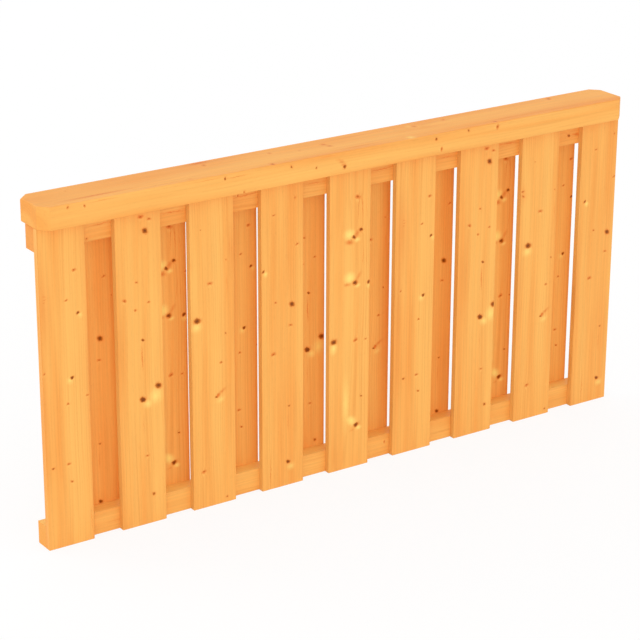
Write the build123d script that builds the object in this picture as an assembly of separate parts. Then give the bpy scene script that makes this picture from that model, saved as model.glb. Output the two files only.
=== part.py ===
from build123d import *
from math import atan, degrees, radians, tan
import os

# Wooden balustrade panel, all sizes in millimetres.
# X runs along the panel, Y from its front to its back, Z up from the board ends.
# The origin is under the middle of the panel, on the plane that it stands on.

# Panel
panel_length = 1800.0
front_board_count = 9

# Boards, upright on both faces of the rails, each back board behind a gap of the front row
board_length = 840.0
board_width = 127.0
board_thickness = 17.0
board_edge_bevel = 0.5

# Rails, one at each end of the boards
rail_height = 61.0
rail_depth = 40.0
rail_edge_bevel = 0.5

# Handrail, laid on the upper rail and the board ends
handrail_depth = 132.0
handrail_thickness = 58.0
handrail_corner_cut = 25.0
handrail_top_radius = 5.0
handrail_bottom_radius = 1.5

# Countersunk wood screws, drawn with flat sides; the covers are the wood left beyond their tips
screw_sides = 8
board_screw_radius = 2.0
board_screw_head_radius = 4.0
handrail_screw_radius = 3.0
handrail_screw_head_radius = 6.0
countersink_half_angle = 45.0
screw_tip_length = 4.0
screw_tip_radius = 0.5
screw_clearance = 0.1
front_screw_spread = 50.0
back_screw_spread = 70.0
front_board_cover = 7.0
back_rail_cover = 17.0
handrail_cover = 19.0

# Places worked out from the driving dimensions
back_board_count = front_board_count - 1
board_pitch = (panel_length - board_width) / back_board_count
front_board_centres = [(i - back_board_count / 2) * board_pitch for i in range(front_board_count)]
gap_centres = [x + board_pitch / 2 for x in front_board_centres[:-1]]
board_offset = (rail_depth + board_thickness) / 2
lower_rail_centre = rail_height / 2
upper_rail_centre = board_length - rail_height / 2
rail_back = rail_depth / 2
rail_underside = board_length - rail_height
board_back = rail_back + board_thickness


def screw_section(radius):
    """The many-sided section of a screw, measured across its flats."""
    return RegularPolygon(radius, screw_sides, major_radius=False)


def countersink(shank_radius, head_radius):
    """The cone under a screw's head, from Z = 0 down to the shank, with its height."""
    height = (head_radius - shank_radius) / tan(radians(countersink_half_angle))
    return extrude(screw_section(head_radius), height, taper=countersink_half_angle), height


def wood_screw(shank_radius, head_radius, length):
    """A countersunk screw along Z, with its head flush at Z = 0 and its tip at Z = length."""
    head, head_height = countersink(shank_radius, head_radius)
    shank_end = length - screw_tip_length
    shank = Pos(0, 0, head_height) * extrude(screw_section(shank_radius), shank_end - head_height)
    tip_taper = degrees(atan((shank_radius - screw_tip_radius) / screw_tip_length))
    tip = Pos(0, 0, shank_end) * extrude(screw_section(shank_radius), screw_tip_length, taper=tip_taper)
    return head + shank + tip


def screw_hole(shank_radius, head_radius, length):
    """The countersunk hole that such a screw sits in, with a flat bottom just past its tip."""
    shank = shank_radius + screw_clearance
    cone, _ = countersink(shank, head_radius + screw_clearance)
    return cone + extrude(screw_section(shank), length + screw_clearance)


def facing_front(solid, x, y, z):
    """Turns a screw or hole so that it runs towards the front, with its head at the given point."""
    return Pos(x, y, z) * Rot(X=90) * solid


def board_screw_places(centres, spread):
    """Two screws beside each board's centre line, at both rails."""
    return [
        (x + side * spread / 2, z)
        for x in centres
        for z in (lower_rail_centre, upper_rail_centre)
        for side in (-1, 1)
    ]


# Screws of the front boards: driven from the back face of the rails, so that none shows in front
front_screw_length = rail_depth + board_thickness - front_board_cover
front_screw_size = (board_screw_radius, board_screw_head_radius, front_screw_length)
front_screw = wood_screw(*front_screw_size)
front_hole = screw_hole(*front_screw_size)
front_places = board_screw_places(front_board_centres, front_screw_spread)
front_board_screws = [facing_front(front_screw, x, rail_back, z) for x, z in front_places]
front_board_holes = [facing_front(front_hole, x, rail_back, z) for x, z in front_places]

# Screws of the back boards: driven through the boards into the rails
back_screw_length = board_thickness + rail_depth - back_rail_cover
back_screw_size = (board_screw_radius, board_screw_head_radius, back_screw_length)
back_screw = wood_screw(*back_screw_size)
back_hole = screw_hole(*back_screw_size)
back_places = board_screw_places(gap_centres, back_screw_spread)
back_board_screws = [facing_front(back_screw, x, board_back, z) for x, z in back_places]
back_board_holes = [facing_front(back_hole, x, board_back, z) for x, z in back_places]

# Screws of the handrail: driven up through the upper rail, one in every gap
handrail_screw_length = rail_height + handrail_thickness - handrail_cover
handrail_screw_size = (handrail_screw_radius, handrail_screw_head_radius, handrail_screw_length)
handrail_screw = wood_screw(*handrail_screw_size)
handrail_hole = screw_hole(*handrail_screw_size)
handrail_screws = [Pos(x, 0, rail_underside) * handrail_screw for x in gap_centres]
handrail_holes = [Pos(x, 0, rail_underside) * handrail_hole for x in gap_centres]


def bevelled_section(width, height, bevel):
    """A planed section with its four edges eased."""
    return chamfer(Rectangle(width, height).vertices(), bevel)


def board(centre_x, centre_y, holes):
    """An upright board with eased long edges and the holes of its own screws."""
    section = bevelled_section(board_width, board_thickness, board_edge_bevel)
    blank = Pos(centre_x, centre_y, 0) * extrude(section, board_length)
    own = [hole for hole in holes if abs(hole.center().X - centre_x) < board_width / 2]
    return blank - own


def rail(centre_z, holes):
    """A rail along X with eased long edges and the holes of every screw that enters it."""
    section = Plane.YZ * bevelled_section(rail_depth, rail_height, rail_edge_bevel)
    blank = Pos(0, 0, centre_z) * extrude(section, panel_length / 2, both=True)
    own = [hole for hole in holes if abs(hole.center().Z - centre_z) < rail_height]
    return blank - own


def handrail():
    """The capping beam: upright corners cut at 45 degrees in plan, rounded along its top, eased below."""
    outline = Rectangle(panel_length, handrail_depth)
    outline = chamfer(outline.vertices(), handrail_corner_cut)
    blank = Pos(0, 0, board_length) * extrude(outline, handrail_thickness)
    blank = fillet(blank.faces().sort_by(Axis.Z)[-1].edges(), handrail_top_radius)
    blank = fillet(blank.faces().sort_by(Axis.Z)[0].edges(), handrail_bottom_radius)
    return blank - handrail_holes


parts = {
    "handrail": handrail(),
    "upper_rail": rail(upper_rail_centre, front_board_holes + back_board_holes + handrail_holes),
    "lower_rail": rail(lower_rail_centre, front_board_holes + back_board_holes),
    "front_board_screws": Compound(front_board_screws),
    "back_board_screws": Compound(back_board_screws),
    "handrail_screws": Compound(handrail_screws),
}
for number, centre in enumerate(front_board_centres, 1):
    parts[f"front_board_{number}"] = board(centre, -board_offset, front_board_holes)
for number, centre in enumerate(gap_centres, 1):
    parts[f"back_board_{number}"] = board(centre, board_offset, back_board_holes)

os.makedirs("parts", exist_ok=True)
for name, shape in parts.items():
    export_step(shape, f"parts/{name}.step")
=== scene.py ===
from math import cos, radians, sin

import bpy
import numpy as np
from mathutils import Matrix, Vector


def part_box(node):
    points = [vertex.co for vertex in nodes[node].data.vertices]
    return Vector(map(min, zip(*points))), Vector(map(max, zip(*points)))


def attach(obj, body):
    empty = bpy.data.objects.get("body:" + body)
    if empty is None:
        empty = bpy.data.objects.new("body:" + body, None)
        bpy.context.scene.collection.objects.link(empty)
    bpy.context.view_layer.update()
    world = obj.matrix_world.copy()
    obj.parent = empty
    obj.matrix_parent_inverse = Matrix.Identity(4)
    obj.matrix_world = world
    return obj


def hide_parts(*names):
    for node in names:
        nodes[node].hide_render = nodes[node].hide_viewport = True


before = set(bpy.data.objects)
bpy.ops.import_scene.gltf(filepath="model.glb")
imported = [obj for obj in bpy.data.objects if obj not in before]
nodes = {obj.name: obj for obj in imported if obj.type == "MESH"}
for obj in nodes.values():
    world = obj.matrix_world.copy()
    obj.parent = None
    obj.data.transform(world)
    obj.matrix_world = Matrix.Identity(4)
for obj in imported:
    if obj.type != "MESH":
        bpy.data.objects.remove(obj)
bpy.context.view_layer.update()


# Rails: two planed softwood laths, one at each end of the boards, that everything else is screwed to.
# Their grain runs along the panel. They are dipped in the same honey stain as the rest.

def place(tree, kind, feeds=None, **settings):
    """Adds a node. Settings go on the node itself, feeds on its sockets, as values or as other sockets."""
    made = tree.nodes.new(kind)
    for key, value in settings.items():
        setattr(made, key, value)
    for key, value in (feeds or {}).items():
        if isinstance(value, bpy.types.NodeSocket):
            tree.links.new(value, made.inputs[key])
        else:
            made.inputs[key].default_value = value
    return made


def grouped(tree, group, feeds):
    """Places a shader group, feeds it and returns its outputs."""
    return place(tree, "ShaderNodeGroup", feeds, node_tree=group).outputs


def maths(tree, operation, *feeds):
    """One sum or function of numbers and sockets, as a socket."""
    return place(tree, "ShaderNodeMath", dict(enumerate(feeds)), operation=operation).outputs[0]


def vector_maths(tree, operation, *feeds):
    """One sum or function of vectors, as a socket."""
    return place(tree, "ShaderNodeVectorMath", dict(enumerate(feeds)), operation=operation).outputs[0]


def step(tree, value, low, high, bottom=0.0, top=1.0):
    """A soft step of a value: bottom up to low, top from high on, and an S between them."""
    feeds = {"Value": value, "From Min": low, "From Max": high, "To Min": bottom, "To Max": top}
    return place(tree, "ShaderNodeMapRange", feeds, interpolation_type="SMOOTHSTEP").outputs[0]


def tinted(tree, share, below, above, blend="MIX"):
    """Lays one colour over another by a share, as a socket."""
    feeds = {"Factor": share, 6: below, 7: above}
    return place(tree, "ShaderNodeMix", feeds, data_type="RGBA", blend_type=blend).outputs[2]


def cloud(tree, spot, scale, offset, detail=1.0):
    """Soft noise between 0 and 1. The scale stretches it on each axis and the offset moves it."""
    vector = place(tree, "ShaderNodeVectorMath", {0: spot, 1: scale, 2: offset}, operation="MULTIPLY_ADD")
    feeds = {"Vector": vector.outputs[0], "Scale": 1.0, "Detail": detail}
    return place(tree, "ShaderNodeTexNoise", feeds).outputs


def node_group(name, inputs, outputs):
    """An empty shader group with named sockets. Returns it with the sockets of its two ends."""
    group = bpy.data.node_groups.new(name, "ShaderNodeTree")
    for socket, kind, start in inputs:
        made = group.interface.new_socket(name=socket, in_out="INPUT", socket_type="NodeSocket" + kind)
        made.default_value = start
    for socket, kind in outputs:
        group.interface.new_socket(name=socket, in_out="OUTPUT", socket_type="NodeSocket" + kind)
    return group, group.nodes.new("NodeGroupInput").outputs, group.nodes.new("NodeGroupOutput").inputs


def spot_group():
    """A soft oval on a face: its strength at the centre, falling evenly to 0 at its edge. The larger of
    that and the value handed in goes on, so that spots can be strung one after another."""
    tree, given, result = node_group(
        "Spot",
        [
            ("Face", "Vector", (0, 0, 0)),
            ("Centre", "Vector", (0, 0, 0)),
            ("Turn", "Vector", (0, 0, 0)),
            ("Size", "Vector", (1, 1, 1)),
            ("Strength", "Float", 1),
            ("Before", "Float", 0),
        ],
        [("After", "Float")],
    )
    feeds = {
        "Vector": given["Face"],
        "Location": given["Centre"],
        "Rotation": given["Turn"],
        "Scale": given["Size"],
    }
    inside = place(tree, "ShaderNodeMapping", feeds, vector_type="TEXTURE")
    ball = place(tree, "ShaderNodeTexGradient", {0: inside.outputs[0]}, gradient_type="SPHERICAL")
    own = maths(tree, "MULTIPLY", ball.outputs["Fac"], given["Strength"])
    tree.links.new(maths(tree, "MAXIMUM", given["Before"], own), result["After"])
    return tree


def growth_ring_group():
    """Growth rings round the heart of a log, wherever the piece was cut from it. A ring is the fraction of
    the wandering distance from the heart over the ring width: it darkens slowly and ends sharply. Knots
    swell that distance, which makes the rings flow round them. Tone is a slower change from ring to ring,
    fibre the fine streak of the wood's own threads, and pores are the short dark dashes in it."""
    tree, given, result = node_group(
        "Growth rings",
        [
            ("Place", "Vector", (0, 0, 0)),
            ("Heart", "Vector", (0, 0, 0)),
            ("Ring width", "Float", 0.005),
            ("Seed", "Float", 0),
            ("Swell", "Float", 0),
        ],
        [("Ring", "Float"), ("Tone", "Float"), ("Fibre", "Float"), ("Pore", "Float")],
    )
    spot, seed = given["Place"], given["Seed"]
    shift = place(tree, "ShaderNodeCombineXYZ", {"X": seed, "Y": seed, "Z": seed}).outputs[0]
    drift = vector_maths(tree, "SUBTRACT", cloud(tree, spot, (5, 5, 1.5), shift)["Color"], (0.5, 0.5, 0.5))
    drift = vector_maths(tree, "MULTIPLY", drift, (0.045, 0.045, 0))
    from_heart = vector_maths(tree, "SUBTRACT", spot, given["Heart"])
    from_heart = vector_maths(tree, "MULTIPLY", from_heart, (1, 1, 0))
    from_heart = vector_maths(tree, "ADD", from_heart, drift)
    distance = place(tree, "ShaderNodeVectorMath", {0: from_heart}, operation="LENGTH").outputs["Value"]
    ripple = cloud(tree, spot, (50, 50, 4), shift, 2)["Fac"]
    distance = maths(tree, "MULTIPLY_ADD", ripple, 0.005, distance)
    distance = maths(tree, "ADD", distance, given["Swell"])
    count = maths(tree, "DIVIDE", distance, given["Ring width"])
    year = {"W": maths(tree, "MULTIPLY_ADD", count, 0.4, seed), "Scale": 1.0, "Detail": 1.0}
    year = place(tree, "ShaderNodeTexNoise", year, noise_dimensions="1D").outputs["Fac"]
    part = maths(tree, "FRACT", maths(tree, "MULTIPLY_ADD", year, 1.8, count))
    dark = maths(tree, "MULTIPLY", step(tree, part, 0.25, 0.86), step(tree, part, 0.86, 1.0, 1, 0))
    strength = step(tree, year, 0.3, 0.7, 0.35, 1)
    patch = cloud(tree, spot, (11, 11, 2.6), shift, 1)["Fac"]
    strength = maths(tree, "MULTIPLY", strength, step(tree, patch, 0.36, 0.66, 0.3, 1.4))
    tree.links.new(maths(tree, "MULTIPLY", dark, strength), result["Ring"])
    along = place(tree, "ShaderNodeSeparateXYZ", {0: spot}).outputs[2]
    band = place(tree, "ShaderNodeCombineXYZ", {"X": distance, "Z": along}).outputs[0]
    tree.links.new(step(tree, cloud(tree, band, (30, 0, 1.8), shift, 2)["Fac"], 0.28, 0.72), result["Tone"])
    tree.links.new(cloud(tree, spot, (210, 210, 4), shift, 3)["Fac"], result["Fibre"])
    dash = cloud(tree, spot, (1300, 1300, 70), shift, 0)["Fac"]
    tree.links.new(step(tree, dash, 0.68, 0.76), result["Pore"])
    return tree


def srgb(red, green, blue):
    """A colour as read off a swatch, 0 to 255 a channel, as Blender's linear light."""
    swatch = np.array([red, green, blue]) / 255
    linear = np.where(swatch < 0.04045, swatch / 12.92, ((swatch + 0.055) / 1.055) ** 2.4)
    return (*linear.tolist(), 1.0)


pale_wood = srgb(246, 184, 96)
deep_wood = srgb(239, 160, 75)
late_wood = srgb(222, 134, 54)
bright_wood = srgb(252, 219, 122)
red_wood = srgb(222, 110, 36)
knot_edge = srgb(178, 96, 18)
knot_heart = srgb(118, 54, 2)
no_tint = (1, 1, 1, 1)
soaked_end = (0.955, 0.9, 0.84, 1)


def stain_group():
    """Honey stain on pine. The tone runs from pale to deep, with dark rings, bright wood beside the knots
    and red streaks laid over it, and then the knots: a red-brown edge and a dark heart with fine rings of
    its own. The sides and the sawn ends are multiplied by a tint each. Gloss and height follow the same
    masks."""
    masks = ("Ring", "Tone", "Fibre", "Pore", "Pale", "Bright", "Streak", "Knot", "Side", "End")
    tree, given, result = node_group(
        "Honey stain",
        [(name, "Float", 0) for name in masks]
        + [("Ring depth", "Float", 0.4), ("Side tint", "Color", no_tint), ("End tint", "Color", no_tint)],
        [("Color", "Color"), ("Roughness", "Float"), ("Height", "Float")],
    )
    pale = step(tree, given["Pale"], 0, 0.7)
    tone = maths(tree, "MULTIPLY_ADD", given["Tone"], 0.75, 0.25)
    tone = maths(tree, "MULTIPLY", tone, maths(tree, "MULTIPLY_ADD", pale, -0.75, 1.0))
    colour = tinted(tree, tone, pale_wood, deep_wood)
    ring = maths(tree, "MULTIPLY", given["Ring"], given["Ring depth"])
    colour = tinted(tree, ring, colour, late_wood)
    colour = tinted(tree, step(tree, given["Bright"], 0, 0.9, 0, 0.95), colour, bright_wood)
    colour = tinted(tree, step(tree, given["Streak"], 0, 1.0, 0, 0.88), colour, red_wood)
    thread = step(tree, given["Fibre"], 0.3, 0.7, 0.96, 1.03)
    thread = maths(tree, "MULTIPLY", thread, maths(tree, "MULTIPLY_ADD", given["Pore"], -0.07, 1.0))
    colour = tinted(tree, 1.0, colour, thread, "MULTIPLY")
    knot = given["Knot"]
    colour = tinted(tree, step(tree, knot, 0.4, 0.66, 0, 0.55), colour, red_wood)
    rim = step(tree, knot, 0.61, 0.72)
    colour = tinted(tree, rim, colour, knot_edge)
    ripple = maths(tree, "PINGPONG", maths(tree, "MULTIPLY", knot, 9.0), 0.5)
    ripple = maths(tree, "MULTIPLY_ADD", ripple, -0.5, 1.0)
    heart = maths(tree, "MULTIPLY", step(tree, knot, 0.72, 0.88), ripple)
    colour = tinted(tree, heart, colour, knot_heart)
    colour = tinted(tree, given["Side"], colour, given["Side tint"], "MULTIPLY")
    colour = tinted(tree, given["End"], colour, given["End tint"], "MULTIPLY")
    tree.links.new(colour, result["Color"])
    rough = maths(tree, "MULTIPLY_ADD", given["Fibre"], 0.16, 0.46)
    rough = maths(tree, "MULTIPLY_ADD", given["End"], 0.2, rough)
    tree.links.new(maths(tree, "MULTIPLY_ADD", rim, -0.12, rough), result["Roughness"])
    height = maths(tree, "MULTIPLY_ADD", given["Ring"], 0.5, maths(tree, "MULTIPLY", given["Fibre"], 0.6))
    height = maths(tree, "MULTIPLY_ADD", given["Pore"], -0.5, height)
    tree.links.new(maths(tree, "MULTIPLY_ADD", rim, -0.6, height), result["Height"])
    return tree


spot_shader = spot_group()
ring_shader = growth_ring_group()
stain_shader = stain_group()


def spots(tree, face, marks):
    """Strings soft ovals over a face. A mark is its place across and along, its half-sizes across and
    along, its turn in degrees and its strength, with lengths in millimetres."""
    value = 0.0
    for across, along, wide, high, turn, strength in marks:
        value = grouped(tree, spot_shader, {
            "Face": face,
            "Centre": (across / 1000, along / 1000, 0),
            "Turn": (0, 0, radians(turn)),
            "Size": (wide / 1000, high / 1000, 1),
            "Strength": strength,
            "Before": value,
        })[0]
    return value


def all_marks(marks):
    """Every mark on a face as an oval. A knot is given as its place across and along, radius and strength:
    its oval reaches about three radii out and leans this way or that by its place. A fleck, where a thin
    twig grew, is a place and a size: a faint knot in a flat red streak, with bright wood under it."""
    ovals = {kind: list(marks.get(kind, [])) for kind in ("pale", "streaks")}
    ovals["bright"] = [
        (across, along, 1.4 * wide, 1.4 * high, turn, 0.85 * strength)
        for across, along, wide, high, turn, strength in marks.get("bright", [])
    ]
    ovals["knots"] = [
        (across, along, 3.3 * radius, 2.5 * radius, (37 * across + 11 * along) % 90 - 45, strength)
        for across, along, radius, strength in marks.get("knots", [])
    ]
    for across, along, size in marks.get("flecks", []):
        lean = (37 * across + 11 * along) % 50 - 25
        ovals["streaks"].append((across, along, 2.2 * size, 1.3 * size, lean, 0.9))
        ovals["knots"].append((across, along, 5 * size, 3 * size, lean, 0.74))
        ovals["bright"].append((across, along - 1.4 * size, 2.2 * size, 1.6 * size, lean, 0.28))
    return ovals


mark_wander = (0.006, 0.006, 0.007)
knot_swell = 0.012
grain_bump = 0.25
grain_depth = 0.0006
stain_gloss = 0.2


def stained_pine(name, centre, turn, heart, ring_width, seed, marks, edge_marks=None, ring_depth=0.26,
                 side_tint=no_tint, end_tint=soaked_end):
    """The finish of one piece. Centre and turn lay its grain along Z; heart is where the log's middle was,
    seen from the piece's own. The marks lie on its broad faces and the edge marks on the faces beside
    those, which the side tint colours. The end tint colours the sawn ends."""
    finish = bpy.data.materials.new(name)
    finish.use_nodes = True
    tree = finish.node_tree
    shader = tree.nodes["Principled BSDF"]
    where = place(tree, "ShaderNodeTexCoord")
    feeds = {"Vector": where.outputs["Object"], "Location": centre, "Rotation": turn}
    laid = place(tree, "ShaderNodeMapping", feeds, vector_type="TEXTURE").outputs[0]
    shake = cloud(tree, laid, (170, 170, 170), (seed, 0, 0), 2)["Color"]
    shake = vector_maths(tree, "SUBTRACT", shake, (0.5, 0.5, 0.5))
    feeds = {0: shake, 1: mark_wander, 2: laid}
    shaken = place(tree, "ShaderNodeVectorMath", feeds, operation="MULTIPLY_ADD").outputs[0]
    axes = place(tree, "ShaderNodeSeparateXYZ", {0: shaken}).outputs
    feeds = {"Vector": where.outputs["Normal"], "Rotation": turn}
    facing = place(tree, "ShaderNodeMapping", feeds, vector_type="TEXTURE").outputs[0]
    facing = place(tree, "ShaderNodeSeparateXYZ", {0: facing}).outputs
    on_side, on_broad, on_end = [step(tree, maths(tree, "ABSOLUTE", part), 0.6, 0.9) for part in facing]
    masks = {"knots": 0.0, "pale": 0.0, "bright": 0.0, "streaks": 0.0}
    for across, shown, own_marks in ((axes[0], on_broad, marks), (axes[1], on_side, edge_marks or {})):
        face = place(tree, "ShaderNodeCombineXYZ", {"X": across, "Y": axes[2]}).outputs[0]
        for kind, ovals in all_marks(own_marks).items():
            if ovals:
                own = maths(tree, "MULTIPLY", spots(tree, face, ovals), shown)
                masks[kind] = maths(tree, "MAXIMUM", masks[kind], own)
    swell = maths(tree, "MULTIPLY", maths(tree, "POWER", masks["knots"], 1.5), knot_swell)
    feeds = {"Place": laid, "Heart": heart, "Ring width": ring_width, "Seed": seed, "Swell": swell}
    rings = grouped(tree, ring_shader, feeds)
    stain = grouped(tree, stain_shader, {
        "Ring": rings["Ring"],
        "Tone": rings["Tone"],
        "Fibre": rings["Fibre"],
        "Pore": rings["Pore"],
        "Pale": masks["pale"],
        "Bright": masks["bright"],
        "Streak": masks["streaks"],
        "Knot": masks["knots"],
        "Side": on_side,
        "End": on_end,
        "Ring depth": ring_depth,
        "Side tint": side_tint,
        "End tint": end_tint,
    })
    feeds = {"Height": stain["Height"], "Strength": grain_bump, "Distance": grain_depth}
    bump = place(tree, "ShaderNodeBump", feeds)
    tree.links.new(stain["Color"], shader.inputs["Base Color"])
    tree.links.new(stain["Roughness"], shader.inputs["Roughness"])
    tree.links.new(bump.outputs[0], shader.inputs["Normal"])
    shader.inputs["Specular IOR Level"].default_value = stain_gloss
    return finish


def finished(node, finish):
    """Gives a piece of the frame its finish."""
    nodes[node].data.materials.clear()
    nodes[node].data.materials.append(finish)


rail_ring_width = 0.0055
along_panel = (0, radians(90), 0)
rail_marks = {
    "lower_rail": {
        "flecks": [(6, -415, 3), (-8, 130, 3), (10, 590, 3)],
        "pale": [(0, 0, 70, 2500, 0, 0.4)],
        "streaks": [(5, -700, 4, 60, 0, 0.4), (-12, -100, 4, 80, 0, 0.4), (8, 330, 4, 60, 0, 0.4)],
    },
    "upper_rail": {
        "knots": [(22, -758, 3.5, 0.8), (4, 738, 5, 0.9)],
        "flecks": [(-10, -330, 3)],
        "streaks": [
            (0, 0, 80, 3000, 0, 0.12),
            (-8, -720, 3, 60, 2, 0.8),
            (-2, -520, 3, 50, -2, 0.9),
            (-8, -310, 3, 60, 3, 0.8),
            (-4, -100, 3, 60, -2, 0.7),
            (-6, 110, 3, 60, 2, 0.8),
            (-4, 320, 3, 50, 0, 0.7),
            (-8, 530, 3, 60, -3, 0.8),
            (4, 765, 5, 25, -8, 0.9),
        ],
    },
}
rail_heart = (0.05, 0.03, 0)
rail_seed = 40
rail_ring_depths = {"lower_rail": 0.16, "upper_rail": 0.26}

# Painted light: the lower rail's top and underside are paler and lighter, lifting the shade on its top
# between the boards. The upper rail's sawn ends are darker than the lower rail's: soaked end grain with a
# painted shade below the handrail.
rail_side_painted_light = {"lower_rail": (1.08, 1.38, 1.62, 1), "upper_rail": no_tint}
# The upper rail's end tint is soaked end grain with a painted shade below the handrail.
rail_end_soak_and_shade = {"lower_rail": soaked_end, "upper_rail": (0.905, 0.74, 0.69, 1)}
for number, name in enumerate(rail_marks):
    low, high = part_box(name)
    finished(name, stained_pine(
        name + "_wood", (low + high) / 2, along_panel, rail_heart, rail_ring_width, rail_seed + number,
        rail_marks[name], ring_depth=rail_ring_depths[name], side_tint=rail_side_painted_light[name],
        end_tint=rail_end_soak_and_shade[name]
    ))


# Front boards: nine planed pine boards, upright on the front of the rails and flush with the lower one.
# They are cut from one plank after another, and screwed on from behind, so no fastener shows here.

board_ring_width = 0.0065
# Painted light: a paler, less red tint on the front boards' sides, lifting the shade they sit in between
# the boards.
painted_side_light = (0.92, 1.07, 1.22, 1)
upright = (0, 0, 0)
plank_hearts = [(-0.11, 0.05, 0), (0.10, 0.045, 0), (0.13, 0.06, 0), (-0.03, 0.085, 0), (-0.12, 0.05, 0)]
plank_repeat_shift = 0.0067
plank_seed_step = 3.7
plank_marks = [
    {
        "knots": [(39, 611, 4, 1.0), (17, 447, 4, 1.0), (-44, 219, 4, 0.85)],
        "flecks": [
            (32, 722, 4),
            (8, 649, 3),
            (-58, 472, 3),
            (3, 380, 3),
            (0, 221, 4),
            (6, 172, 3),
            (57, 392, 3),
        ],
        "pale": [(20, 420, 48, 900, 0, 1.0)],
        "bright": [(45, 604, 8, 8, 0, 0.6), (11, 440, 11, 10, 0, 0.7)],
        "streaks": [
            (57, 60, 1.5, 60, 0, 0.8),
            (-45, 350, 2, 130, 0, 0.35),
            (-56, 645, 42, 190, 0, 0.42),
            (-51, 669, 10, 2, -6, 0.95),
            (-49, 661, 10, 2, 6, 0.9),
            (-52, 654, 8, 2, 4, 0.85),
            (-64, 420, 18, 700, 0, 0.3),
            (66, 420, 22, 700, 0, 0.46),
        ],
    },
    {
        "knots": [
            (22, 507, 7, 1.0),
            (10, 67, 5.5, 1.0),
            (32, 792, 5, 0.7),
            (-65, 611, 4, 0.9),
            (58, 615, 3, 0.75),
            (13, 226, 4, 0.8),
        ],
        "flecks": [(38, 667, 3.5), (-28, 520, 3), (-35, 380, 5), (-33, 756, 3), (18, 450, 4)],
        "pale": [(-56, 420, 22, 900, 0, 0.7), (0, 420, 45, 400, 0, 0.35), (42, 420, 18, 900, 0, 0.35)],
        "bright": [(18, 52, 13, 11, 0, 0.7), (-58, 603, 8, 8, 0, 0.8)],
        "streaks": [(10, 180, 3, 50, 0, 0.5), (-45, 50, 1.5, 75, 0, 0.9), (12, 640, 2.5, 60, 0, 0.3)],
    },
    {
        "knots": [
            (20, 784, 7, 0.98),
            (48, 372, 8, 0.98),
            (3, 344, 6.5, 1.08),
            (7, 502, 4, 0.95),
            (28, 79, 5, 0.8),
        ],
        "flecks": [
            (-42, 614, 4),
            (26, 598, 3),
            (-12, 584, 3),
            (12, 189, 3.5),
            (9, 822, 5),
            (32, 812, 4),
            (-7, 656, 3),
        ],
        "pale": [(-24, 420, 24, 900, 0, 0.85), (38, 420, 28, 900, 0, 0.8)],
        "bright": [(40, 346, 21, 23, 0, 0.82), (17, 330, 16, 14, 0, 0.75)],
        "streaks": [
            (4, 455, 3.5, 55, 2, 0.8),
            (4, 275, 3, 50, 0, 0.45),
            (12, 650, 2.5, 60, 0, 0.3),
            (-60, 420, 16, 700, 0, 0.18),
            (6, 420, 9, 700, 0, 0.12),
        ],
    },
    {
        "knots": [
            (28, 669, 5, 0.98),
            (6, 652, 5.5, 0.95),
            (10, 526, 6.5, 1.0),
            (54, 520, 5, 1.0),
            (-56, 373, 8, 0.98),
            (17, 121, 6.5, 1.0),
            (33, 201, 3.5, 0.85),
        ],
        "flecks": [(16, 760, 6), (61, 635, 3), (13, 365, 5), (46, 361, 3)],
        "pale": [(-10, 420, 26, 700, 0, 1.0), (-62, 420, 16, 700, 0, 0.5), (45, 420, 40, 900, 0, 0.75)],
        "bright": [
            (-9, 662, 18, 15, 0, 1.0),
            (15, 644, 12, 8, 0, 0.8),
            (-7, 542, 18, 17, 0, 1.0),
            (18, 517, 10, 7, 0, 0.8),
            (56, 510, 10, 8, 0, 0.8),
            (-57, 354, 12, 18, 0, 0.9),
            (1, 136, 22, 14, -35, 1.0),
            (25, 112, 11, 7, 0, 0.9),
            (-17, 190, 13, 80, 0, 0.7),
        ],
        "streaks": [
            (-8, 640, 21, 11, -8, 0.9),
            (-14, 525, 17, 8, -5, 0.8),
            (22, 543, 9, 26, -35, 0.55),
            (15, 661, 11, 16, -30, 0.75),
            (20, 735, 2, 60, -4, 0.75),
            (32, 730, 2, 55, 3, 0.7),
            (46, 720, 1.5, 50, 4, 0.5),
            (34, 590, 2, 45, -6, 0.6),
            (46, 585, 1.5, 40, 0, 0.5),
            (5, 108, 16, 6, 10, 0.45),
            (-32, 420, 8, 700, 0, 0.14),
        ],
    },
    {
        "knots": [
            (-46, 519, 8, 1.0),
            (8, 301, 3.5, 0.9),
            (-32, 757, 3, 0.7),
            (41, 666, 4, 0.7),
            (38, 470, 3.5, 0.75),
            (36, 15, 4.5, 0.75),
        ],
        "flecks": [(23, 393, 3.5), (-7, 612, 5), (-32, 102, 5), (-71, 678, 4), (-69, 664, 4)],
        "pale": [(12, 400, 38, 900, 0, 0.9), (-48, 420, 24, 900, 0, 0.65)],
        "bright": [(-48, 502, 17, 15, 0, 0.75), (20, 291, 14, 10, 20, 0.6)],
        "streaks": [
            (13, 305, 12, 8, 42, 1.2),
            (25, 314, 22, 8, 32, 0.7),
            (51, 700, 2.5, 50, 0, 0.6),
            (43, 600, 2.5, 50, 0, 0.5),
            (-70, 670, 22, 45, 0, 0.4),
            (58, 690, 16, 120, 0, 0.4),
        ],
    },
]


def board_finish(node, place_in_row, side_tint=no_tint):
    """One board's finish. The plank's patterns come round again along the panel, each time a little
    further to the side."""
    low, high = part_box(node)
    times_round, pattern = divmod(place_in_row, len(plank_marks))
    shift = plank_repeat_shift * times_round
    centre = ((low.x + high.x) / 2 + shift, (low.y + high.y) / 2, 0)
    return stained_pine(
        node + "_wood", centre, upright, plank_hearts[pattern], board_ring_width,
        plank_seed_step * pattern, plank_marks[pattern], side_tint=side_tint
    )


# Front and back boards take turns along the panel. The first board's outer side is stained as its face is;
# the other front boards' sides get a painted light.
front_boards = [f"front_board_{number}" for number in range(1, 10)]
for number, name in enumerate(front_boards):
    finished(name, board_finish(name, 2 * number, painted_side_light if number else no_tint))


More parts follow.
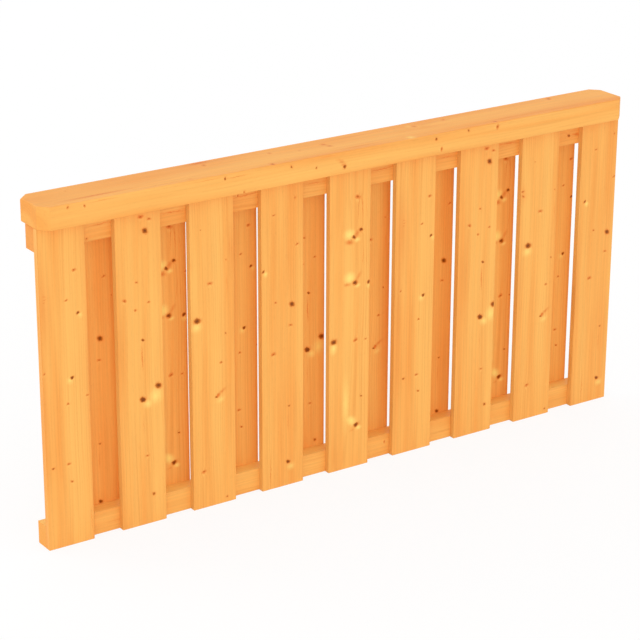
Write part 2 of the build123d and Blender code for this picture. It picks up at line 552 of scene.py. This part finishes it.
# Front board screws: turned steel screws, two wherever a front board crosses a rail. They are driven from
# the back of the rail into the board, with the countersunk head flush, and have a six-lobed recess.

screw_sides = 36
recess_lobe = 0.14
screw_tip_length = 0.004
screw_tip_radius = 0.0005


def screw_mesh(length, shank_radius, head_radius):
    """One screw along Z with its head at 0. Its rows run from the floor of the recess over the head and
    down the shank to the tip, each a ring whose radius is its own times 1 + lobe x cos(6 x angle), where
    only the recess has lobes. Returns the points, the faces and every face corner's turn and row."""
    head_height = head_radius - shank_radius
    rows = np.array([
        [0.34 * head_radius, 0.50 * head_radius, recess_lobe],
        [0.46 * head_radius, 0.06 * head_radius, recess_lobe],
        [0.50 * head_radius, 0.00, recess_lobe],
        [0.93 * head_radius, 0.00, 0],
        [head_radius, 0.05 * head_radius, 0],
        [shank_radius, head_height, 0],
        [shank_radius, length - screw_tip_length, 0],
        [screw_tip_radius, length, 0],
    ])
    count = len(rows)
    angle = np.linspace(0, 2 * np.pi, screw_sides, endpoint=False)
    radius = rows[:, :1] * (1 + rows[:, 2:] * np.cos(6 * angle))
    depth = np.repeat(rows[:, 1:2], screw_sides, axis=1)
    rings = np.stack([radius * np.cos(angle), radius * np.sin(angle), depth], axis=-1)
    points = np.concatenate([rings.reshape(-1, 3), [[0, 0, rows[0, 1]], [0, 0, length]]])
    here = np.arange(screw_sides)
    after = (here + 1) % screw_sides
    start = screw_sides * np.arange(count - 1)[:, None]
    below = start + screw_sides
    quads = np.stack([start + here, start + after, below + after, below + here], -1)
    first, last = len(points) - 2, len(points) - 1
    end = screw_sides * (count - 1)
    floor_fan = np.stack([np.full(screw_sides, first), after, here], -1)
    tip_fan = np.stack([end + here, end + after, np.full(screw_sides, last)], -1)
    turn = np.stack([here, here + 1, here + 1, here], -1) / screw_sides
    turns = np.broadcast_to(turn, (count - 1, screw_sides, 4))
    row = np.arange(count - 1)[:, None, None] + np.array([0, 0, 1, 1])
    row = np.broadcast_to(row, turns.shape) / count
    fan_turn = np.stack([here + 0.5, here + 1, here], -1) / screw_sides
    tip_turn = np.stack([here, here + 1, here + 0.5], -1) / screw_sides
    corners = np.concatenate([
        np.stack([turns, row], -1).reshape(-1, 2),
        np.stack([fan_turn, np.zeros_like(fan_turn)], -1).reshape(-1, 2),
        np.stack([tip_turn, np.ones_like(tip_turn)], -1).reshape(-1, 2),
    ])
    return points, quads.reshape(-1, 4), np.concatenate([floor_fan, tip_fan]), corners


bright_plating = srgb(214, 206, 184)
dull_plating = srgb(188, 178, 150)
recess_floor_dark = srgb(70, 58, 44)


def plated_steel(name):
    """Bright plated steel. Turning marks run round the head by row, the recess darkens towards its floor,
    and the plating is a little duller in patches."""
    finish = bpy.data.materials.new(name)
    finish.use_nodes = True
    tree = finish.node_tree
    shader = tree.nodes["Principled BSDF"]
    where = place(tree, "ShaderNodeTexCoord")
    row = place(tree, "ShaderNodeSeparateXYZ", {0: where.outputs["UV"]}).outputs[1]
    feeds = {"W": row, "Scale": 160.0, "Detail": 2.0}
    marks = place(tree, "ShaderNodeTexNoise", feeds, noise_dimensions="1D")
    patch = cloud(tree, where.outputs["Object"], (420, 420, 420), (0, 0, 0), 3)["Fac"]
    plate = tinted(tree, step(tree, patch, 0.35, 0.7), bright_plating, dull_plating)
    # The recess darkens towards its floor.
    recess_darkening = step(tree, row, 0.1, 0.27, 0.8, 0)
    tree.links.new(tinted(tree, recess_darkening, plate, recess_floor_dark), shader.inputs["Base Color"])
    rough = maths(tree, "MULTIPLY_ADD", patch, 0.25, 0.2)
    tree.links.new(maths(tree, "MULTIPLY_ADD", recess_darkening, 0.3, rough), shader.inputs["Roughness"])
    feeds = {"Height": marks.outputs["Fac"], "Strength": 0.2, "Distance": 0.0001}
    bump = place(tree, "ShaderNodeBump", feeds)
    tree.links.new(bump.outputs[0], shader.inputs["Normal"])
    shader.inputs["Metallic"].default_value = 1.0
    return finish


def screw_row(name, places, turn, length, shank_radius, head_radius):
    """All the screws of one group as one piece: the same screw, turned and set at each place."""
    points, quads, fans, corners = screw_mesh(length, shank_radius, head_radius)
    points = points @ np.array(turn)
    every = (points[None] + np.array(places)[:, None, :]).reshape(-1, 3)
    shift = len(points) * np.arange(len(places))[:, None, None]
    faces = []
    for four, three in zip((quads[None] + shift).tolist(), (fans[None] + shift).tolist()):
        faces += four + three
    mesh = bpy.data.meshes.new(name)
    mesh.from_pydata(every.tolist(), [], faces)
    uv = mesh.uv_layers.new(name="turn_and_row")
    uv.data.foreach_set("uv", np.tile(corners, (len(places), 1)).astype(np.float32).ravel())
    mesh.shade_smooth()
    mesh.set_sharp_from_angle(angle=radians(35))
    mesh.materials.append(steel)
    made = bpy.data.objects.new(name, mesh)
    bpy.context.scene.collection.objects.link(made)
    return made


def crossings(boards, spread, head_face):
    """Two places beside each board's centre line at both rails, on the given face."""
    middles = [sum(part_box(rail), Vector()).z / 2 for rail in rail_marks]
    centres = [sum(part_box(board), Vector()).x / 2 for board in boards]
    return [(x + side * spread / 2, head_face, z) for x in centres for z in middles for side in (-1, 1)]


steel = plated_steel("screw_steel")
towards_front = ((1, 0, 0), (0, 0, 1), (0, -1, 0))
board_screw_radius = 0.002
board_screw_head = 0.004
front_screw_length = 0.050
front_screw_spread = 0.050
rail_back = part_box("lower_rail")[1].y
front_places = crossings(front_boards, front_screw_spread, rail_back)
piece = screw_row(
    "front_screws", front_places, towards_front, front_screw_length, board_screw_radius, board_screw_head
)
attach(piece, "root")
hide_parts("front_board_screws")


# Back boards: eight boards of the same planks on the back of the rails, one behind each gap.
# They are screwed on through their own faces.

back_boards = [f"back_board_{number}" for number in range(1, 9)]
for number, name in enumerate(back_boards):
    finished(name, board_finish(name, 2 * number + 1))


# Back board screws: the same screws, a little shorter, through the back boards into the rails.
# Their heads are flush with the boards' back faces.

back_screw_length = 0.040
back_screw_spread = 0.070
board_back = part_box("back_board_1")[1].y
back_places = crossings(back_boards, back_screw_spread, board_back)
piece = screw_row(
    "back_screws", back_places, towards_front, back_screw_length, board_screw_radius, board_screw_head
)
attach(piece, "root")
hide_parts("back_board_screws")


# Handrail: one planed beam laid on the upper rail and the board ends, its corners cut off at 45 degrees.
# It is screwed on from below, through the upper rail.

handrail_front_marks = {
    "knots": [
        (-18, -395, 3.5, 0.9),
        (-16, -200, 3.5, 0.9),
        (-1, -125, 3.5, 0.8),
        (10, -39, 5, 0.92),
        (-16, 250, 4, 0.9),
        (-23, 355, 4, 0.85),
    ],
    "flecks": [(14, 268, 4), (-18, 452, 5), (-22, -830, 3), (-18, -785, 3), (26, -340, 3)],
    "pale": [(8, 0, 24, 1200, 0, 0.9), (-20, 620, 22, 460, 0, 0.85)],
    "streaks": [
        (-4, -48, 9, 27, -32, 0.55),
        (6, -42, 6, 14, -32, 0.7),
        (-18, -360, 3, 60, 1, 0.6),
        (-24, -735, 2.5, 60, 0, 0.5),
        (-23, -440, 2, 60, 0, 0.5),
        (-25, -90, 2, 60, 0, 0.5),
        (-25, 180, 2, 60, 0, 0.3),
        (2, -560, 2, 60, 1, 0.25),
        (12, 120, 2, 90, -1, 0.2),
        (-8, 620, 2, 120, 0, 0.2),
        (16, 700, 2, 90, 1, 0.2),
    ],
}
handrail_top_marks = {
    "knots": [
        (30, -398, 10, 0.69),
        (28, -205, 9, 0.67),
        (5, -130, 8, 0.6),
        (-2, -42, 10, 0.69),
        (25, 245, 10, 0.68),
        (35, 348, 9, 0.68),
        (45, 715, 10, 0.73),
        (-56, -250, 7, 0.76),
        (-54, 452, 8, 0.72),
        (-50, -485, 7, 0.62),
        (30, -785, 7, 0.6),
    ],
    "pale": [(-14, 0, 40, 1200, 0, 0.6), (18, 300, 26, 500, 0, 0.6)],
    "bright": [(-52, 178, 14, 14, 0, 0.7), (36, 232, 10, 12, 0, 0.5)],
    "streaks": [
        (52, -430, 26, 480, 0, 0.4),
        (52, -400, 16, 60, 0, 0.85),
        (44, -640, 5, 120, 0, 0.5),
        (18, -48, 16, 12, -30, 0.75),
        (-38, -740, 9, 150, 0, 0.75),
        (-44, 20, 8, 110, 0, 0.5),
        (-40, 500, 7, 90, 0, 0.45),
        (-52, -560, 3, 160, 0, 0.5),
        (-28, 80, 4, 140, 1, 0.3),
        (-44, 620, 4, 200, 0, 0.4),
        (40, 60, 5, 150, 0, 0.45),
        (48, 600, 24, 320, 0, 0.3),
        (12, 560, 3, 150, -1, 0.3),
        (6, -640, 3, 150, 1, 0.3),
    ],
}
handrail_heart = (0.06, 0.02, 0)
handrail_ring_width = 0.006
handrail_ring_depth = 0.12
handrail_seed = 60
handrail_top_tint = (1.04, 0.99, 0.96, 1)
low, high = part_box("handrail")
finished("handrail", stained_pine(
    "handrail_wood", (low + high) / 2, along_panel, handrail_heart, handrail_ring_width, handrail_seed,
    handrail_front_marks, handrail_top_marks, ring_depth=handrail_ring_depth, side_tint=handrail_top_tint
))


# Handrail screws: long stout screws, one in every gap, up through the upper rail into the handrail.
# Their heads are flush with the rail's underside.

upwards = ((1, 0, 0), (0, 1, 0), (0, 0, 1))
handrail_screw_radius = 0.003
handrail_screw_head = 0.006
handrail_screw_length = 0.100
rail_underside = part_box("upper_rail")[0].z
gap_centres = [sum(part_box(board), Vector()).x / 2 for board in back_boards]
piece = screw_row(
    "handrail_long_screws", [(x, 0, rail_underside) for x in gap_centres], upwards,
    handrail_screw_length, handrail_screw_radius, handrail_screw_head
)
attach(piece, "root")
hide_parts("handrail_screws")


# Floor and light: a plain pale floor in a nearly even white room, with large soft lamps in front, at the
# left and behind. The camera sees floor and room as plain white, apart from a faint shadow.

def seen_directly(tree):
    """1 where the camera or a mirror image looks, and 0 for the light that bounces."""
    path = place(tree, "ShaderNodeLightPath").outputs
    seen = maths(tree, "MAXIMUM", path["Is Camera Ray"], path["Is Glossy Ray"])
    return maths(tree, "MAXIMUM", seen, path["Is Transmission Ray"])


half_floor = 12.0
floor_level = -0.0005
floor_shadow_share = 0.15
pale_floor = (0.9, 0.9, 0.9, 1)
plain_white = (1, 1, 1, 1)
corners = np.array([[-1, -1, 0], [1, -1, 0], [1, 1, 0], [-1, 1, 0]]) * half_floor + [0, 0, floor_level]
floor_mesh = bpy.data.meshes.new("floor")
floor_mesh.from_pydata(corners.tolist(), [], [(0, 1, 2, 3)])
floor = bpy.data.objects.new("floor", floor_mesh)
bpy.context.scene.collection.objects.link(floor)
floor_finish = bpy.data.materials.new("pale_floor")
floor_finish.use_nodes = True
tree = floor_finish.node_tree
tree.nodes.remove(tree.nodes["Principled BSDF"])
seen = seen_directly(tree)
floor_colour = tinted(tree, seen, pale_floor, plain_white)
matt = place(tree, "ShaderNodeBsdfDiffuse", {"Color": floor_colour})
white = place(tree, "ShaderNodeEmission", {"Color": plain_white, "Strength": 1.0})
share = maths(tree, "MULTIPLY", seen, 1 - floor_shadow_share)
mixed = place(tree, "ShaderNodeMixShader", {0: share, 1: matt.outputs[0], 2: white.outputs[0]})
tree.links.new(mixed.outputs[0], tree.nodes["Material Output"].inputs["Surface"])
floor_mesh.materials.append(floor_finish)

room_level = 0.95
brighter_towards = (0, -0.1, -0.04)
room = bpy.data.worlds.new("room")
bpy.context.scene.world = room
room.use_nodes = True
tree = room.node_tree
tree.nodes["Background"].inputs["Color"].default_value = plain_white
direction = place(tree, "ShaderNodeTexCoord").outputs["Generated"]
feeds = {0: direction, 1: brighter_towards}
fall = place(tree, "ShaderNodeVectorMath", feeds, operation="DOT_PRODUCT")
walls = maths(tree, "ADD", fall.outputs["Value"], room_level)
seen = seen_directly(tree)
room_light = place(tree, "ShaderNodeMix", {"Factor": seen, "A": walls, "B": 1.0}).outputs[0]
tree.links.new(room_light, tree.nodes["Background"].inputs["Strength"])

# Each lamp's place, the length of its side and its power in watts.
lamps = {
    "front_lamp": ((-11.2, -20.2, 5.4), 10.0, 1100.0),
    "left_lamp": ((-18.0, -3.2, 4.8), 8.0, 140.0),
    "back_lamp": ((-13.0, 19.0, 6.0), 12.0, 1150.0),
}
panel_middle = Vector((0, 0, 0.45))
for name, (stand, size, power) in lamps.items():
    lamp = bpy.data.lights.new(name, "AREA")
    lamp.size = size
    lamp.energy = power
    turn = (Vector(stand) - panel_middle).to_track_quat("Z", "Y").to_matrix().to_4x4()
    lamp_stand = bpy.data.objects.new(name, lamp)
    lamp_stand.matrix_world = Matrix.Translation(stand) @ turn
    bpy.context.scene.collection.objects.link(lamp_stand)


# Camera: a long lens about six metres off, at the photograph's viewing angle. Its turn is worked out from
# the compass angle, the tilt downwards and a slight roll.

camera_data = bpy.data.cameras.new("camera")
camera_data.lens = 128.52
camera_data.sensor_width = 36.0
camera_data.clip_end = 100.0
camera = bpy.data.objects.new("camera", camera_data)
camera_place = (-3.19841, -4.63756, 2.55335)
azimuth, tilt, roll = radians(34.018), radians(20.802), radians(0.2192)
look = Vector((sin(azimuth) * cos(tilt), cos(azimuth) * cos(tilt), -sin(tilt)))
level = Vector((cos(azimuth), -sin(azimuth), 0))
above = level.cross(look)
right = cos(roll) * level + sin(roll) * above
up = cos(roll) * above - sin(roll) * level
turned = Matrix((right, up, -look)).transposed().to_4x4()
camera.matrix_world = Matrix.Translation(camera_place) @ turned
bpy.context.scene.collection.objects.link(camera)
bpy.context.scene.camera = camera
bpy.context.scene.view_settings.view_transform = "Standard"
